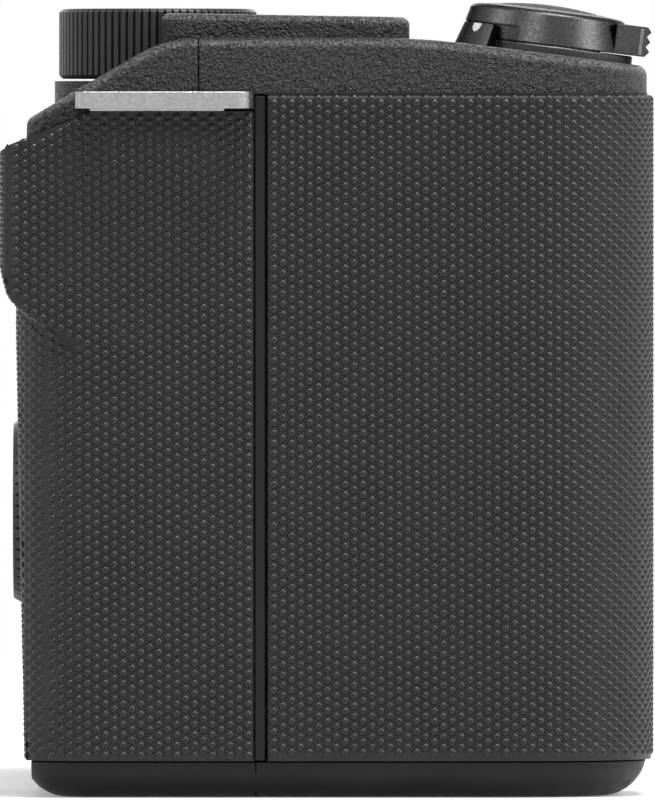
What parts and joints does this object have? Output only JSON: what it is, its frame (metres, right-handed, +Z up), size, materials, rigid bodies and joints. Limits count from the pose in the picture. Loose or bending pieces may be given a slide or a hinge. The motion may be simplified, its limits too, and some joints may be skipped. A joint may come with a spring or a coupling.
{
  "type": "mirrorless camera",
  "caption": "Compact interchangeable-lens camera body with a rubber grip, top and rear dials, zoom lever, flip-out monitor, hot shoe and open lens mount.",
  "frame": {"origin": "mouth of the tripod socket in the base plane, straight below the lens axis", "axes": "+Z up; -Y towards the subject, along the lens axis; +Y to the rear with the monitor; -X the grip side, +X the port side"},
  "size_m": [0.1224, 0.0548, 0.0669],
  "materials": {
    "cover_plastic": "fine grained moulded black plastic",
    "base_plastic": "smooth matte black plastic",
    "grip_rubber": "black rubber moulded with small domes",
    "satin_steel": "satin blasted steel",
    "mount_steel": "turned satin steel",
    "screw_steel": "plated steel",
    "chassis_magnesium": "black painted cast magnesium",
    "inner_plastic": "matte black plastic",
    "gold_contact": "gold plated brass",
    "sensor_ceramic": "dark ceramic package",
    "sensor_glass": "coated cover glass",
    "circuit_board": "green circuit board",
    "shoe_steel": "black painted steel",
    "lever_metal": "dark grey anodised metal",
    "button_metal": "dark grey satin metal",
    "dial_metal": "black anodised metal with a straight knurl",
    "wheel_plastic": "black plastic",
    "button_plastic": "satin black plastic",
    "record_plastic": "red plastic",
    "lamp_window": "dark red translucent plastic",
    "battery_plastic": "grey plastic case",
    "socket_steel": "plated steel",
    "jack_plastic": "black plastic socket",
    "hinge_metal": "black painted metal",
    "bezel_plastic": "smooth black plastic",
    "screen_glass": "dark glass over the display",
    "seal_rubber": "soft black rubber",
    "door_rubber": "black rubber"
  },
  "bodies": {
    "root": {"front_cover": "cover_plastic", "top_cover": "cover_plastic", "rear_cover": "cover_plastic", "bottom_cover": "base_plastic", "front_grip_rubber": "grip_rubber", "rear_grip_rubber": "grip_rubber", "grip_trim_strip": "base_plastic", "strap_lug_grip_side": "satin_steel", "strap_lug_port_side": "satin_steel", "lens_mount_ring": "mount_steel", "lens_mount_screws": "screw_steel", "chassis": "chassis_magnesium", "lens_contact_block": "inner_plastic", "lens_contact_pins": "gold_contact", "image_sensor": "sensor_ceramic", "sensor_cover_glass": "sensor_glass", "sensor_board": "circuit_board", "main_board": "circuit_board", "hot_shoe_base": "inner_plastic", "hot_shoe_rails": "shoe_steel", "microphone_grille": "inner_plastic", "shutter_seat": "lever_metal", "shutter_switch": "inner_plastic", "lamp_window": "lamp_window", "battery_bay": "inner_plastic", "battery_pack": "battery_plastic", "tripod_socket": "socket_steel", "base_screws": "screw_steel", "port_panel": "inner_plastic", "mic_jack": "jack_plastic", "headphone_jack": "jack_plastic", "usb_socket": "socket_steel", "hdmi_socket": "socket_steel", "monitor_hinge_bracket": "hinge_metal", "monitor_hinge_pin": "screw_steel", "door_hinge_pin": "screw_steel"},
    "shutter": {"shutter_button": "button_metal"},
    "zoom": {"zoom_lever": "lever_metal"},
    "dial": {"rear_dial": "dial_metal"},
    "wheel": {"control_wheel": "wheel_plastic"},
    "center": {"center_button": "button_plastic"},
    "menu": {"menu_button": "button_plastic"},
    "function": {"function_button": "button_plastic"},
    "playback": {"playback_button": "button_plastic"},
    "delete": {"delete_button": "button_plastic"},
    "record": {"record_button": "record_plastic"},
    "custom": {"custom_button": "button_plastic"},
    "mode": {"mode_button": "button_plastic"},
    "power": {"power_switch": "button_plastic"},
    "release": {"lens_release_button": "button_plastic", "lens_lock_pin": "screw_steel"},
    "monitor": {"monitor_arm": "hinge_metal", "monitor_back_shell": "cover_plastic", "monitor_bezel": "bezel_plastic", "monitor_screen": "screen_glass"},
    "battery_door": {"battery_door": "base_plastic", "battery_door_seal": "seal_rubber"},
    "battery_latch": {"battery_door_latch": "button_plastic"},
    "upper_door": {"upper_port_door": "door_rubber"},
    "lower_door": {"lower_port_door": "door_rubber"}
  },
  "joints": [
    {"name": "shutter_press", "type": "slide", "parent": "root", "child": "shutter", "axis": [0, 0.1219, -0.9925], "range_m": [0, 0.001], "stiffness_N_per_m": 300},
    {"name": "zoom_turn", "type": "hinge", "parent": "root", "child": "zoom", "pos_m": [-0.055, -0.01805, 0.0626], "axis": [0, -0.1219, 0.9925], "range_deg": [-20, 20], "stiffness_Nm_per_rad": 0.01},
    {"name": "rear_dial_turn", "type": "hinge", "parent": "root", "child": "dial", "pos_m": [-0.0565, 0.01455, 0.0603], "axis": [0, 0, 1], "continuous": true},
    {"name": "control_wheel_turn", "type": "hinge", "parent": "root", "child": "wheel", "pos_m": [-0.0505, 0.021, 0.02395], "axis": [0, 1, 0], "continuous": true},
    {"name": "center_press", "type": "slide", "parent": "root", "child": "center", "axis": [0, -1, 0], "range_m": [0, 0.0004], "stiffness_N_per_m": 300},
    {"name": "menu_press", "type": "slide", "parent": "root", "child": "menu", "axis": [0, -1, 0], "range_m": [0, 0.0004], "stiffness_N_per_m": 300},
    {"name": "function_press", "type": "slide", "parent": "root", "child": "function", "axis": [0, -1, 0], "range_m": [0, 0.0004], "stiffness_N_per_m": 300},
    {"name": "playback_press", "type": "slide", "parent": "root", "child": "playback", "axis": [0, -1, 0], "range_m": [0, 0.0004], "stiffness_N_per_m": 300},
    {"name": "delete_press", "type": "slide", "parent": "root", "child": "delete", "axis": [0, -1, 0], "range_m": [0, 0.0004], "stiffness_N_per_m": 300},
    {"name": "record_press", "type": "slide", "parent": "root", "child": "record", "axis": [0, 0.1219, -0.9925], "range_m": [0, 0.0004], "stiffness_N_per_m": 300},
    {"name": "custom_press", "type": "slide", "parent": "root", "child": "custom", "axis": [0, 0, -1], "range_m": [0, 0.0004], "stiffness_N_per_m": 300},
    {"name": "mode_press", "type": "slide", "parent": "root", "child": "mode", "axis": [0, 0, -1], "range_m": [0, 0.0004], "stiffness_N_per_m": 300},
    {"name": "power_slide", "type": "slide", "parent": "root", "child": "power", "axis": [1, 0, 0], "range_m": [0, 0.0036]},
    {"name": "lens_release_press", "type": "slide", "parent": "root", "child": "release", "axis": [0, 1, 0], "range_m": [0, 0.0018], "stiffness_N_per_m": 400},
    {"name": "monitor_swing", "type": "hinge", "parent": "root", "child": "monitor", "pos_m": [0.04065, 0.02255, 0.0325], "axis": [0, 0, -1], "range_deg": [0, 176]},
    {"name": "battery_door_swing", "type": "hinge", "parent": "root", "child": "battery_door", "pos_m": [-0.0333, 0.005, 0.0009], "axis": [0, -1, 0], "range_deg": [0, 95]},
    {"name": "battery_latch_slide", "type": "slide", "parent": "battery_door", "child": "battery_latch", "axis": [0, 1, 0], "range_m": [0, 0.003]},
    {"name": "upper_port_door_swing", "type": "hinge", "parent": "root", "child": "upper_door", "pos_m": [0.04335, 0.00685, 0.0458], "axis": [0, 0, -1], "range_deg": [0, 95]},
    {"name": "lower_port_door_swing", "type": "hinge", "parent": "root", "child": "lower_door", "pos_m": [0.04335, 0.00685, 0.0232], "axis": [0, 0, -1], "range_deg": [0, 95]}
  ]
}
